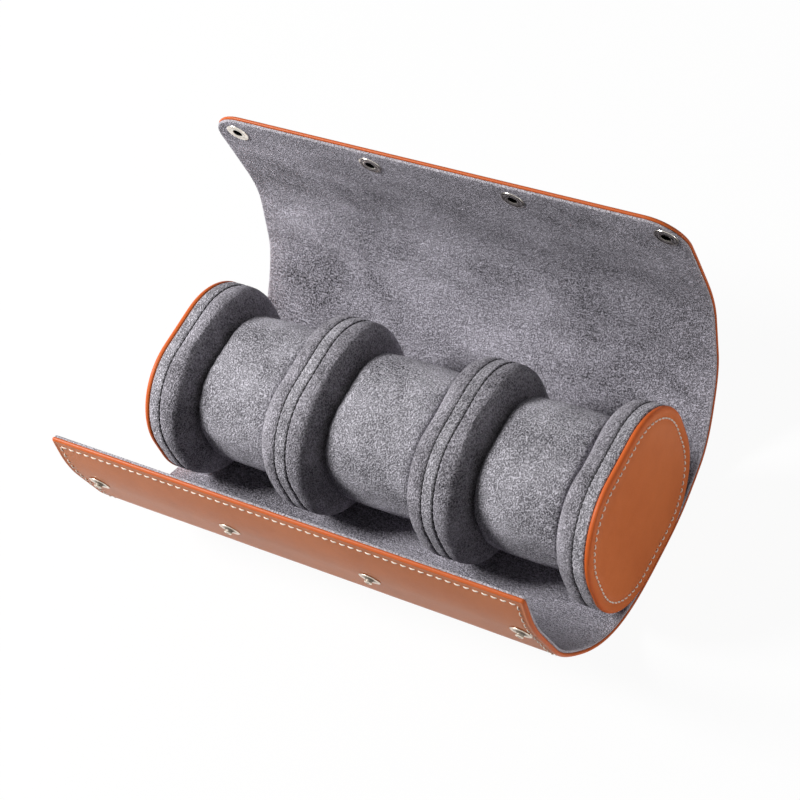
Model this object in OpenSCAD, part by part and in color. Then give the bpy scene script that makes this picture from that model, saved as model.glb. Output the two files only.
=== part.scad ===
// Roll-up travel case for three watches, lying open on its base panel.
// X runs along the roll, Y runs back to the long lid flap, Z is up, and the origin is the
// middle of the base panel's underside. All sizes are in millimetres.

/* [Shell] */
// Length of the leather shell along the roll
shell_length = 250; // [200:1:320]
// Thickness of the outer leather
leather = 1.8; // [1.2:0.1:2.4]
// Thickness of the suede lining
lining = 1.4; // [1.2:0.1:2]
// Thickness of the stiffening boards in the base and the lid
board = 0.7; // [0.4:0.1:0.8]
// Part of the gap between two panels of the shell
panel_gap = 0.2; // [0.1:0.05:0.4]
// Radius of the lid flap's two free corners
corner = 18; // [5:1:20]

/* [Discs] */
// Half of the depth of a padded disc, front to back
disc_half_depth = 45.8; // [38:0.1:50]
// Half of the height of a padded disc
disc_half_height = 40.3; // [38:0.1:44]
// Radius of a disc's rounded ends
disc_radius = 34.8; // [28:0.1:36.5]
// Thickness of a disc's suede padding at its crown
disc_pad = 12.2; // [8:0.1:13]
// Width of the gusset strip round a disc's rim
gusset = 6; // [4:0.1:8]
// Length over the two end discs
insert_length = 241.4; // [220:0.2:245]
// How far the insert sits towards the right end
insert_shift = 6.1; // [0:0.1:7]
// How far each middle disc stands from its even place
divider_shift = [-3.2, 0.2];
// Thickness of the leather face of an end disc at its rim
face_leather = 2.4; // [2:0.1:4]
// Thickness of the strip that holds the discs on the lining
spine = 0.9; // [0.3:0.1:1]
// Width of that strip
spine_width = 20; // [10:1:22]

/* [Cushions] */
// Size of a watch cushion's section as a share of the disc's
cushion_share = 0.76; // [0.6:0.01:0.85]
// Clearance between a cushion's end and a disc's crown
cushion_gap = 0.3; // [0.2:0.05:1]

/* [Fit] */
// Clearance of the closed shell round the discs
wrap_gap = 0.9; // [0.6:0.1:2]
// Clearance between the closed lid and the front flap under it
overlap_gap = 1; // [0.9:0.1:2]
// Distance from the row of studs to the front edge
stud_margin = 30; // [20:0.5:36]
// Distance from the row of sockets to the lid's free edge
socket_margin = 10.5; // [8:0.5:24]

/* [Snaps] */
// Distance between two snaps
snap_pitch = 75.4; // [50:0.2:78]
// Place of the middle of the rows along the shell
snap_shift = 2.2; // [-4:0.1:4]
// Radius of a stud's flange
stud_flange = 5.2; // [4:0.1:6]
// Radius of a stud's post
stud_post = 1.7; // [1.4:0.1:2]
// Height of a stud above the leather
stud_height = 2.3; // [2:0.1:2.4]
// Radius of a socket's ring
socket_ring = 5.8; // [5:0.1:7]
// Clearance round a stud's head inside its socket
snap_gap = 0.35; // [0.2:0.05:0.6]
// How far a stud's flange and a socket's ring stand proud
snap_proud = 0.45; // [0.3:0.05:0.5]

/* [Open pose] */
// Turn of the lid flap at each of its bends when it lies open
lid_open = [13, 6, 30, 24, 0, 23, 2];
// Turn of the front flap at each of its bends when it lies open
flap_open = [24, 29, 26, 0, 17];

/* [Hidden] */
SNAPS = 4;
$fn = 48;
wall = leather + lining;
lid_turn = 30;
flap_turn = 45;

// Closed, the shell wraps the discs as a polygon: flats along the straight sides, and
// equal facets round each corner. tan30 and tan45 give a facet's half length.
wrap_r = disc_radius + wrap_gap;
over_r = wrap_r + wall + overlap_gap;
flat_y = disc_half_depth - disc_radius;
flat_z = disc_half_height - disc_radius;
tan30 = tan(lid_turn / 2);
tan45 = tan(flap_turn / 2);

// Lengths of the lid's facets from the middle of the base: the third bend stays fixed
lid_len = [
    flat_y + wrap_r * tan30,
    2 * wrap_r * tan30,
    2 * wrap_r * tan30,
    2 * wrap_r * tan30 + 2 * flat_z + wall + overlap_gap,
    2 * wrap_r * tan30,
    2 * wrap_r * tan30,
    wrap_r * tan30 + 2 * flat_y + over_r * tan30,
    over_r * tan30 + socket_margin
];
flap_len = [
    flat_y + wrap_r * tan45,
    2 * wrap_r * tan45,
    wrap_r * tan45 + 2 * flat_z + wrap_r * tan30,
    2 * wrap_r * tan30,
    2 * wrap_r * tan30,
    stud_margin - wrap_r * tan30
];
socket_along = over_r * tan30;
stud_along = wrap_r * tan30;

// Middle height of the discs over the floor
disc_z = wall + spine + disc_half_height;
insert_left = insert_shift - insert_length / 2;
insert_right = insert_shift + insert_length / 2;
face_crown = face_leather * 1.5;
end_disc_thick = face_crown + gusset + disc_pad;
divider_half = gusset / 2 + disc_pad;
// The gussets of the four discs stand at equal steps, apart from the middle discs' shifts
gusset_left = insert_left + face_crown + gusset / 2;
gusset_step = (insert_length - 2 * face_crown - gusset) / 3;
function divider_x(i) = gusset_left + i * gusset_step + divider_shift[i - 1];
// Ends of the three bays between the discs' crowns
bay_from = [insert_left + end_disc_thick, divider_x(1) + divider_half, divider_x(2) + divider_half];
bay_to = [divider_x(1) - divider_half, divider_x(2) - divider_half, insert_right - end_disc_thick];
// How far the boards stay inside the shell's two ends and inside the bends beside them
board_end = 6;
board_bend = 4;
// Room round a hidden piece in its pocket
pocket_slack = 0.05;
// How far the strip under the discs stays inside the insert's ends
spine_end = 4;

// Rings of a padded face: [inset from the rim, height over the gusset] as shares
PAD_SIDES = 40;
PAD_FORM = [
    [1.2, 0], [0.2, 0.06], [0, 0.18], [0.5, 0.37], [1.8, 0.56], [4.2, 0.73], [7.8, 0.86], [13, 0.94], [20, 0.985]
];
// Rings of an end disc's leather face: [inset, height as a share of its thickness]
FACE_FORM = [
    [0.5, 0], [0, 0.35], [0.3, 0.75], [1.4, 1], [3, 1.02], [4.4, 0.9], [6.5, 1.08], [12, 1.3], [20, 1.42]
];

function sum_to(list, n) = n <= 0 ? 0 : list[n - 1] + sum_to(list, n - 1);
// A facet's heading, its start on the lining's face, and the way along it and out of it
function facing(turns, n) = sum_to(turns, n);
function start(lens, turns, n) = n == 0 ? [0, wall]
    : start(lens, turns, n - 1)
      + lens[n - 1] * [cos(facing(turns, n - 1)), sin(facing(turns, n - 1))];
function along(turns, n) = [cos(facing(turns, n)), sin(facing(turns, n))];
function outward(turns, n) = [sin(facing(turns, n)), -cos(facing(turns, n))];
function turn_at(turns, n) = n < 0 || n >= len(turns) ? 0 : turns[n];

// Corners of a facet at a depth through the wall: mitred, so that neighbours meet on the bend
function head(lens, turns, n, depth, gap) = start(lens, turns, n)
    + (gap - depth * tan(turn_at(turns, n - 1) / 2)) * along(turns, n) + depth * outward(turns, n);
function tail(lens, turns, n, depth, gap) = start(lens, turns, n + 1)
    + (depth * tan(turn_at(turns, n) / 2) - gap) * along(turns, n) + depth * outward(turns, n);

// One layer of the shell over facets first to last, as one solid with fixed bends between them
module chain_strip(lens, turns, first, last, from, to) {
    gap = panel_gap / 2;
    end_gap = last == len(lens) - 1 ? 0 : gap;
    inner = concat(
        [head(lens, turns, first, from, gap)],
        [for (n = [first + 1:1:last]) head(lens, turns, n, from, 0)],
        [tail(lens, turns, last, from, end_gap)]
    );
    outer = concat(
        [tail(lens, turns, last, to, end_gap)],
        [for (n = [last:-1:first + 1]) head(lens, turns, n, to, 0)],
        [head(lens, turns, first, to, gap)]
    );
    rotate([90, 0, 90]) translate([0, 0, -shell_length / 2])
        linear_extrude(shell_length) polygon(concat(inner, outer));
}

// Moves a child from facet n's own frame (Y along it, Z to the inside) to its place
module on_facet(lens, turns, n) {
    place = start(lens, turns, n);
    translate([0, place[0], place[1]]) rotate([facing(turns, n), 0, 0]) children();
}

// The base panel runs from the front flap's first bend to the lid's first bend
module base_layer(from, to) {
    gap = panel_gap / 2;
    front = mirror_y(tail(flap_len, flap_open, 0, from, gap));
    front_out = mirror_y(tail(flap_len, flap_open, 0, to, gap));
    back = tail(lid_len, lid_open, 0, from, gap);
    back_out = tail(lid_len, lid_open, 0, to, gap);
    rotate([90, 0, 90]) translate([0, 0, -shell_length / 2])
        linear_extrude(shell_length) polygon([front, back, back_out, front_out]);
}
function mirror_y(point) = [-point[0], point[1]];

module board_space(length, slack) {
    translate([-shell_length / 2 + board_end - slack, board_bend - slack, -slack])
        cube([shell_length - 2 * board_end + 2 * slack, length - 2 * board_bend + 2 * slack, board + slack]);
}

// The boards lie between the leather and the lining, in a pocket of the lining
module base_board_space(slack) {
    translate([0, -flap_len[0], leather]) board_space(flap_len[0] + lid_len[0], slack);
}

module lid_board_space(slack) {
    translate([0, 0, -lining]) board_space(lid_len[6], slack);
}

module base_leather() { color("sienna") base_layer(lining, wall); }

module base_lining() {
    color("dimgray") difference() {
        base_layer(0, lining);
        base_board_space(pocket_slack);
    }
}

module base_board() { color("burlywood") base_board_space(0); }

module spine_strip() {
    color("gray") translate([insert_left + spine_end, -spine_width / 2, wall])
        cube([insert_length - 2 * spine_end, spine_width, spine]);
}

// First facet of the lid's piece k: the third bend is stiff, so piece 2 has two facets
function lid_first(k) = k < 3 ? k : k + 1;
function lid_last(k) = k < 2 ? k : k + 1;

module corner_cut(length) {
    for (side = [-1, 1])
        translate([side * shell_length / 2, length, 0]) difference() {
            cube([2 * corner, 2 * corner, 4 * wall], center = true);
            translate([-side * corner, -corner, 0])
                cylinder(r = corner, h = 5 * wall, center = true, $fn = 64);
        }
}

module lid_piece(k, from, to) {
    chain_strip(lid_len, lid_open, lid_first(k), lid_last(k), from, to);
}

module snap_places() {
    for (i = [0:SNAPS - 1]) translate([snap_x(i), 0, 0]) children();
}
function snap_x(i) = snap_shift + (i - (SNAPS - 1) / 2) * snap_pitch;

module lid_leather(k) {
    color("sienna") if (k < 6) lid_piece(k, lining, wall);
    else difference() {
        lid_piece(k, lining, wall);
        on_facet(lid_len, lid_open, 7) {
            corner_cut(lid_len[7]);
            translate([0, socket_along, -lining]) snap_places() cap_blank(pocket_slack);
        }
    }
}

module lid_lining(k) {
    color("dimgray") difference() {
        lid_piece(k, 0, lining);
        if (k == 5) on_facet(lid_len, lid_open, 6) lid_board_space(pocket_slack);
        if (k == 6) on_facet(lid_len, lid_open, 7) {
            corner_cut(lid_len[7]);
            translate([0, socket_along, 0]) snap_places()
                translate([0, 0, -2 * lining]) cylinder(r = socket_neck + pocket_slack, h = 3 * lining);
        }
    }
}

module lid_board() { color("burlywood") on_facet(lid_len, lid_open, 6) lid_board_space(0); }

// The front flap is the same chain turned to the front
module flap_piece(k, from, to) {
    mirror([0, 1, 0]) chain_strip(flap_len, flap_open, k, k, from, to);
}

module flap_leather(k) {
    color("sienna") difference() {
        flap_piece(k, lining, wall);
        if (k == 4) stud_frame() translate([0, 0, -2 * wall])
            snap_places() cylinder(r = stud_rivet + pocket_slack, h = 4 * wall);
    }
}

module flap_lining(k) {
    color("dimgray") difference() {
        flap_piece(k, 0, lining);
        if (k == 4) stud_frame() snap_places() back_blank(pocket_slack);
    }
}

// Frame of the studs: origin on the leather's outside, Z straight out of it
module stud_frame() {
    mirror([0, 1, 0]) on_facet(flap_len, flap_open, 4)
        translate([0, stud_along, -wall]) rotate([180, 0, 0]) children();
}
stud_rivet = 1.1;
back_r = 5.4;
back_thick = 0.6;

module back_blank(slack) {
    translate([0, 0, -leather - back_thick]) cylinder(r = back_r + slack, h = back_thick + slack);
}

module stud(i) {
    head = stud_post + 0.2;
    color("gainsboro") stud_frame() translate([snap_x(i), 0, 0]) difference() {
        rotate_extrude() polygon([
            [0, 0], [stud_flange, 0], [stud_flange - 0.3, snap_proud], [stud_post + 0.5, snap_proud],
            [stud_post, snap_proud + 0.3], [stud_post, stud_height - 0.9],
            [head, stud_height - 0.6], [head, stud_height - 0.3], [stud_post, stud_height],
            [0, stud_height]
        ]);
        translate([0, 0, -1]) cylinder(r = stud_rivet, h = 2);
    }
}

module stud_back(i) {
    color("silver") stud_frame() translate([snap_x(i), 0, 0]) {
        back_blank(0);
        translate([0, 0, -leather - back_thick / 2])
            cylinder(r = stud_rivet, h = leather + back_thick / 2 + 1);
    }
}

// Sockets stand on the lid's lining and pass through it to a cap under the leather
socket_hole = stud_post + 0.2 + snap_gap;
socket_neck = socket_hole + 0.7;
cap_r = 5.4;
cap_thick = 0.6;

module cap_blank(slack) {
    translate([0, 0, -cap_thick - slack]) cylinder(r = cap_r + slack, h = cap_thick + slack);
}

module socket(i) {
    color("gainsboro") on_facet(lid_len, lid_open, 7)
        translate([snap_x(i), socket_along, 0]) difference() {
            union() {
                cylinder(r1 = socket_ring, r2 = socket_ring - 0.3, h = snap_proud);
                translate([0, 0, -lining]) cylinder(r = socket_neck, h = lining + snap_proud / 2);
            }
            translate([0, 0, -2 * lining]) cylinder(r = socket_hole, h = 4 * lining);
        }
}

module socket_cap(i) {
    color("silver") on_facet(lid_len, lid_open, 7)
        translate([snap_x(i), socket_along, -lining]) cap_blank(0);
}

// Points of a disc's outline pulled in by some millimetres
function outline_points(inset, sides) = [
    for (i = [0:sides - 1])
        let (a = 360 * (i + 0.5) / sides, r = max(disc_radius - inset, 1))
        [
            sign(cos(a)) * (disc_half_depth - max(disc_radius, inset + 1)) + r * cos(a),
            sign(sin(a)) * (disc_half_height - max(disc_radius, inset + 1)) + r * sin(a)
        ]
];

// A crowned form along X from rings of [inset, height], closed at its crown and its back
module form(rings, crown, scale_by = 1) {
    n = PAD_SIDES;
    m = len(rings);
    points = [
        for (ring = rings) for (p = outline_points(ring[0], n))
            [ring[1], scale_by * p[0], scale_by * p[1]],
        [rings[0][1], 0, 0],
        [crown, 0, 0]
    ];
    sides = [
        for (j = [0:m - 2]) for (i = [0:n - 1]) let (k = (i + 1) % n)
            each [[j * n + i, (j + 1) * n + i, (j + 1) * n + k], [j * n + i, (j + 1) * n + k, j * n + k]]
    ];
    back = [for (i = [0:n - 1]) [m * n, i, (i + 1) % n]];
    front = [for (i = [0:n - 1]) [m * n + 1, (m - 1) * n + (i + 1) % n, (m - 1) * n + i]];
    polyhedron(points, concat(sides, back, front));
}

module pad(height) {
    form([for (ring = PAD_FORM) [ring[0], ring[1] * height]], height);
}

module core(width) {
    rotate([90, 0, 90]) linear_extrude(width) rounded_outline();
}

// The exact outline: flats joined by round corners
module rounded_outline() {
    square([2 * disc_half_depth, 2 * flat_z], center = true);
    square([2 * flat_y, 2 * disc_half_height], center = true);
    for (sy = [-1, 1]) for (sz = [-1, 1])
        translate([sy * flat_y, sz * flat_z]) circle(r = disc_radius, $fn = 96);
}

// An end disc, standing with its leather face towards +X
module cap_face() { form([for (ring = FACE_FORM) [ring[0], ring[1] * face_leather]], face_crown); }

module end_disc(side) {
    translate([side > 0 ? insert_right : insert_left, 0, disc_z])
        mirror([side > 0 ? 0 : 1, 0, 0]) translate([-face_crown, 0, 0]) children();
}

module cap_face_side(side) { color("sienna") end_disc(side) cap_face(); }
module cap_core_side(side) {
    color("gray") end_disc(side) translate([-gusset, 0, 0]) core(gusset);
}
module cap_pad_side(side) {
    color("dimgray") end_disc(side) translate([-gusset, 0, 0]) mirror([1, 0, 0]) pad(disc_pad);
}

module cap_face_left() cap_face_side(-1);
module cap_core_left() cap_core_side(-1);
module cap_pad_left() cap_pad_side(-1);
module cap_face_right() cap_face_side(1);
module cap_core_right() cap_core_side(1);
module cap_pad_right() cap_pad_side(1);

module divider_frame(i) { translate([divider_x(i), 0, disc_z]) children(); }
module divider_core(i) {
    color("gray") divider_frame(i) translate([-gusset / 2, 0, 0]) core(gusset);
}
module divider_pad(i, side) {
    color("dimgray") divider_frame(i) mirror([side > 0 ? 0 : 1, 0, 0])
        translate([gusset / 2, 0, 0]) pad(disc_pad);
}

// A cushion: a barrel of suede with rounded rims and a slight crown along its length
CUSHION_FORM = [[6, 0], [2.6, 0.6], [0.8, 2.2], [0, 5], [-0.9, 16]];
module cushion(i) {
    left = bay_from[i - 1] + cushion_gap;
    length = bay_to[i - 1] - cushion_gap - left;
    half = CUSHION_FORM;
    rings = concat(half, [for (j = [len(half) - 1:-1:0]) [half[j][0], length - half[j][1]]]);
    color("dimgray") translate([left, 0, disc_z]) form(rings, length, cushion_share);
}

base_leather();
base_lining();
base_board();
spine_strip();
lid_leather(1);  // lid_leather_1
lid_leather(2);  // lid_leather_2
lid_leather(3);  // lid_leather_3
lid_leather(4);  // lid_leather_4
lid_leather(5);  // lid_leather_5
lid_leather(6);  // lid_leather_6
lid_lining(1);  // lid_lining_1
lid_lining(2);  // lid_lining_2
lid_lining(3);  // lid_lining_3
lid_lining(4);  // lid_lining_4
lid_lining(5);  // lid_lining_5
lid_lining(6);  // lid_lining_6
lid_board();
flap_leather(1);  // flap_leather_1
flap_leather(2);  // flap_leather_2
flap_leather(3);  // flap_leather_3
flap_leather(4);  // flap_leather_4
flap_leather(5);  // flap_leather_5
flap_lining(1);  // flap_lining_1
flap_lining(2);  // flap_lining_2
flap_lining(3);  // flap_lining_3
flap_lining(4);  // flap_lining_4
flap_lining(5);  // flap_lining_5
stud(0);  // stud_1
stud(1);  // stud_2
stud(2);  // stud_3
stud(3);  // stud_4
stud_back(0);  // stud_back_1
stud_back(1);  // stud_back_2
stud_back(2);  // stud_back_3
stud_back(3);  // stud_back_4
socket(0);  // socket_1
socket(1);  // socket_2
socket(2);  // socket_3
socket(3);  // socket_4
socket_cap(0);  // socket_cap_1
socket_cap(1);  // socket_cap_2
socket_cap(2);  // socket_cap_3
socket_cap(3);  // socket_cap_4
cap_face_left();
cap_core_left();
cap_pad_left();
cap_face_right();
cap_core_right();
cap_pad_right();
divider_core(1);  // divider_core_1
divider_pad(1, -1);  // divider_pad_left_1
divider_pad(1, 1);  // divider_pad_right_1
divider_core(2);  // divider_core_2
divider_pad(2, -1);  // divider_pad_left_2
divider_pad(2, 1);  // divider_pad_right_2
cushion(1);  // cushion_1
cushion(2);  // cushion_2
cushion(3);  // cushion_3
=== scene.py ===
"""A roll-up travel case for three watches, lying open: tan leather outside, grey suede inside."""

import math

import bmesh
import bpy
import numpy as np
from mathutils import Matrix, Vector
from mathutils import noise as random_field


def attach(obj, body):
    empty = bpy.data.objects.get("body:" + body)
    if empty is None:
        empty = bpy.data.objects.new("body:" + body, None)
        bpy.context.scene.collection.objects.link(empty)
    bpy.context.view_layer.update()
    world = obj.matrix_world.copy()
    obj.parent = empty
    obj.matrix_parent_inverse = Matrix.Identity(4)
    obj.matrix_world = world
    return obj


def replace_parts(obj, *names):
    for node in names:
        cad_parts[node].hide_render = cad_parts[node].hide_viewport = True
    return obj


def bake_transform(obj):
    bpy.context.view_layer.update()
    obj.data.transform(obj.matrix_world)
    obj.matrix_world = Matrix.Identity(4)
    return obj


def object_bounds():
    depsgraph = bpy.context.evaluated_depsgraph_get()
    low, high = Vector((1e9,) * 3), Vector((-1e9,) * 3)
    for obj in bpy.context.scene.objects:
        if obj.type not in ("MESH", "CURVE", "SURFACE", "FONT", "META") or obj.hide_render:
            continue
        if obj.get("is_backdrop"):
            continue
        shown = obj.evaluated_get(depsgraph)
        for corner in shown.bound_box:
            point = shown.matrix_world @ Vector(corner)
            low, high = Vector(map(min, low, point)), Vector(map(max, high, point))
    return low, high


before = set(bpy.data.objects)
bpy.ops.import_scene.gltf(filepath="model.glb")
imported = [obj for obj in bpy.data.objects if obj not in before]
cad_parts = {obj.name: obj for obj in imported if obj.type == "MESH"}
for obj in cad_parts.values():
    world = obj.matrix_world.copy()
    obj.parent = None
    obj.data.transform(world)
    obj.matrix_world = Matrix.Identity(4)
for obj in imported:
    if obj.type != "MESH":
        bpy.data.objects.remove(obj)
CAD_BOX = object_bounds()
MM = 0.001

# ---------------------------------------------------------------- camera
# The photograph looks down on the case from its front right, with the roll running up to the left.
# A long lens from about a metre away, rolled a little to the right, gives the same view.
CAMERA_AT = (0.49034, -0.38945, 0.84866)
CAMERA_TARGET = (-0.0039, 0.01258, 0.05379)
CAMERA_ROLL = 26.86
CAMERA_LENS = 99.019

lens = bpy.data.cameras.new("camera")
lens.lens = CAMERA_LENS
lens.sensor_width = 36
lens.sensor_fit = "HORIZONTAL"
lens.clip_start = 0.01
camera = bpy.data.objects.new("camera", lens)
bpy.context.collection.objects.link(camera)
look = Vector(CAMERA_TARGET) - Vector(CAMERA_AT)
camera.matrix_world = (
    Matrix.Translation(CAMERA_AT)
    @ look.to_track_quat("-Z", "Y").to_matrix().to_4x4()
    @ Matrix.Rotation(-math.radians(CAMERA_ROLL), 4, "Z")
)
bpy.context.scene.camera = camera

# ---------------------------------------------------------------- shell leather
# One sheet of smooth vegetable-tanned leather about 2 mm thick is the whole outside: base, lid flap and
# front flap. Its edge is cut, rounded and burnished, with a pressed crease and a stitched line beside it.
# It is cut to wrap the discs when the case is shut, so its bends follow their size.
SHELL_LENGTH = 250
LEATHER = 1.8
LINING = 1.4
WALL = LEATHER + LINING
LID_CORNER = 18
FLAP_CORNER = 1.9
DISC_HALF_DEPTH = 45.8
DISC_HALF_HEIGHT = 40.3
DISC_RADIUS = 34.8
WRAP_GAP = 0.9
OVERLAP_GAP = 1.0
STUD_MARGIN = 30
SOCKET_MARGIN = 10.5
# Turn of the lid and of the front flap at each of their bends as the case lies open
LID_OPEN = [13, 6, 30, 24, 0, 23, 2]
FLAP_OPEN = [24, 29, 26, 0, 17]

wrap = DISC_RADIUS + WRAP_GAP
over = wrap + WALL + OVERLAP_GAP
flat_y = DISC_HALF_DEPTH - DISC_RADIUS
flat_z = DISC_HALF_HEIGHT - DISC_RADIUS
t30, t45 = (math.tan(math.radians(turn / 2)) for turn in (30, 45))
facet = 2 * wrap * t30
SOCKET_ALONG, STUD_ALONG = over * t30, wrap * t30
LID_LENGTHS = [
    flat_y + wrap * t30, facet, facet, facet + 2 * flat_z + WALL + OVERLAP_GAP, facet, facet,
    wrap * t30 + 2 * flat_y + over * t30, over * t30 + SOCKET_MARGIN,
]
FLAP_LENGTHS = [
    flat_y + wrap * t45, 2 * wrap * t45, wrap * t45 + 2 * flat_z + wrap * t30, facet, facet,
    STUD_MARGIN - wrap * t30,
]


class Curl:
    """The lining's face of one flap, seen from the end: a smooth curve through the middle of each facet."""

    def __init__(self, lengths, turns, front):
        self.side = -1 if front else 1
        self.corners = [np.array([0.0, WALL])]
        self.headings = []
        heading = 0.0
        for i, length in enumerate(lengths):
            self.headings.append(heading)
            step = np.array([math.cos(math.radians(heading)), math.sin(math.radians(heading))])
            self.corners.append(self.corners[-1] + length * step)
            heading += turns[i] if i < len(turns) else 0
        middles = [(a + b) / 2 for a, b in zip(self.corners, self.corners[1:])]
        middles[0] = self.corners[0]
        self.knots = middles + [self.corners[-1]]
        self.knot_headings = self.headings + [self.headings[-1]]
        self.bend()

    def bend(self, count=24):
        """Lays out the curve's points, its outward normals and the length run at each."""
        points, normals = [], []
        last = len(self.knots) - 1
        for k in range(last):
            a, b = self.knots[k], self.knots[k + 1]
            span = np.linalg.norm(b - a)
            ta, tb = (
                span * np.array([math.cos(math.radians(h)), math.sin(math.radians(h))])
                for h in self.knot_headings[k : k + 2]
            )
            closed = k == last - 1
            for u in np.linspace(0, 1, count + closed, endpoint=closed):
                points.append(
                    (2 * u**3 - 3 * u**2 + 1) * a + (u**3 - 2 * u**2 + u) * ta
                    + (3 * u**2 - 2 * u**3) * b + (u**3 - u**2) * tb
                )
                slope = (
                    (6 * u * u - 6 * u) * a + (3 * u * u - 4 * u + 1) * ta
                    + (6 * u - 6 * u * u) * b + (3 * u * u - 2 * u) * tb
                )
                slope = slope / np.linalg.norm(slope)
                normals.append(np.array([slope[1], -slope[0]]))
        self.curve, self.normals = np.array(points), np.array(normals)
        self.run = np.r_[0, np.cumsum(np.linalg.norm(np.diff(self.curve, axis=0), axis=1))]
        self.knot_runs = [self.run[min(k * count, len(self.run) - 1)] for k in range(last + 1)]
        self.reach = self.run[-1]

    def at(self, along):
        """The point and the outward normal at a length along the curve."""
        point = np.array([np.interp(along, self.run, self.curve[:, c]) for c in (0, 1)])
        normal = np.array([np.interp(along, self.run, self.normals[:, c]) for c in (0, 1)])
        if along > self.reach:
            point = point + (along - self.reach) * np.array([-normal[1], normal[0]])
        return point, normal / np.linalg.norm(normal)

    def place(self, x, point, normal, offset):
        y, z = point + normal * offset
        return (x, self.side * y, z)

    def on_facet(self, number, along):
        """The place and the outward normal of a point on a flat facet of the solids."""
        heading = math.radians(self.headings[number])
        slope = np.array([math.cos(heading), math.sin(heading)])
        return self.corners[number] + along * slope, np.array([slope[1], -slope[0]])


LID = Curl(LID_LENGTHS, LID_OPEN, front=False)
FLAP = Curl(FLAP_LENGTHS, FLAP_OPEN, front=True)

# Places across a sheet as shares of its half length, closer together near both ends
HALF = SHELL_LENGTH / 2
EDGE_STEPS = [0, 0.5, 1.0, 1.5, 2.0, 2.5, 3.0, 3.6, 4.4, 5.4, 7, 9.5, 13]
COLUMN_STEP = 6
ROW_STEP = 1.6
inner_run = HALF - EDGE_STEPS[-1]
left_places = [-HALF + e for e in EDGE_STEPS[:-1]]
ACROSS = np.concatenate([
    left_places, np.linspace(-inner_run, inner_run, round(2 * inner_run / COLUMN_STEP) + 1),
    [-x for x in reversed(left_places)],
]) / HALF


def half_at(along, reach, corner, inset):
    """Half of the sheet's length at a distance along its flap, where inset pulls the outline in."""
    start = reach - max(corner, inset + 0.1)
    radius = max(corner - inset, 0.1)
    past = min(max(along - start, 0), radius)
    return HALF - inset - (radius - math.sqrt(max(radius**2 - past**2, 0)))


def rows_between(first, last, reach, corner, inset, free):
    """Row places along a strip: even steps, then by angle round the free corners."""
    if not free:
        return np.linspace(first, last, max(3, round((last - first) / ROW_STEP)) + 1)
    radius = max(corner - inset, 0.1)
    bend = reach - inset - radius
    count = max(3, round((bend - first) / ROW_STEP))
    angles = np.radians(np.linspace(0, 90, 13)[1:])
    return np.concatenate([np.linspace(first, bend, count + 1), bend + radius * np.sin(angles)])


def wave(x, y, z, size, height, seed=0.0):
    """A smooth uneven height at a place in millimetres, the same on every run."""
    return height * random_field.noise(Vector((x / size + seed, y / size - seed, z / size + 2 * seed)))


def make_piece(name, points, faces, finish, sharp_degrees=50, masks=None):
    """A closed mesh from points in millimetres, smooth but for edges sharper than the angle."""
    mesh = bpy.data.meshes.new(name)
    mesh.from_pydata([tuple(MM * float(c) for c in p) for p in points], [], faces)
    mesh.validate()
    for polygon in mesh.polygons:
        polygon.use_smooth = True
    for key, values in (masks or {}).items():
        layer = mesh.attributes.new(key, "FLOAT", "POINT")
        layer.data.foreach_set("value", np.array(values, np.float32))
    mesh.materials.append(finish)
    piece = bpy.data.objects.new(name, mesh)
    bpy.context.collection.objects.link(piece)
    mesh.set_sharp_from_angle(angle=math.radians(sharp_degrees))
    return piece


def places_in(mesh):
    """Every point of a mesh in metres, one row each."""
    places = np.zeros(3 * len(mesh.vertices))
    mesh.vertices.foreach_get("co", places)
    return places.reshape(-1, 3)


def put_places(mesh, places):
    mesh.vertices.foreach_set("co", places.ravel())
    mesh.update()


def with_modifiers(piece):
    """A new mesh of a piece as its modifiers leave it."""
    bpy.context.view_layer.update()
    return bpy.data.meshes.new_from_object(piece.evaluated_get(bpy.context.evaluated_depsgraph_get()))


class Layer:
    """One layer of the shell: how far it lies from the lining's face, its rim and the shape of its faces."""

    def __init__(self, name, finish, slot, near, far, inset, rim, near_face, far_face, mask, rim_mask):
        self.name, self.finish, self.slot, self.mask = name, finish, slot, mask
        self.near, self.far, self.inset, self.rim = near, far, inset, rim
        self.near_face, self.far_face, self.rim_mask = near_face, far_face, rim_mask


def rim_way(grid, j, i, free):
    """The way in which the sheet's rim stands out from a point of its border: across and along."""
    n_rows, n_cols = grid.shape[:2]
    side = (i == n_cols - 1) - (i == 0)
    end = free and j == n_rows - 1
    if not side:
        return np.array([0.0, 1.0 if end else 0.0])
    a, b = grid[max(j - 1, 0), i], grid[min(j + 1, n_rows - 1), i]
    t = (b - a) / np.linalg.norm(b - a)
    way = np.array([abs(t[1]) * side, max(-side * t[0], 0.0)])
    if end:
        way = np.array([0.2 * side, 1.0])
    return way / np.linalg.norm(way)


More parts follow.
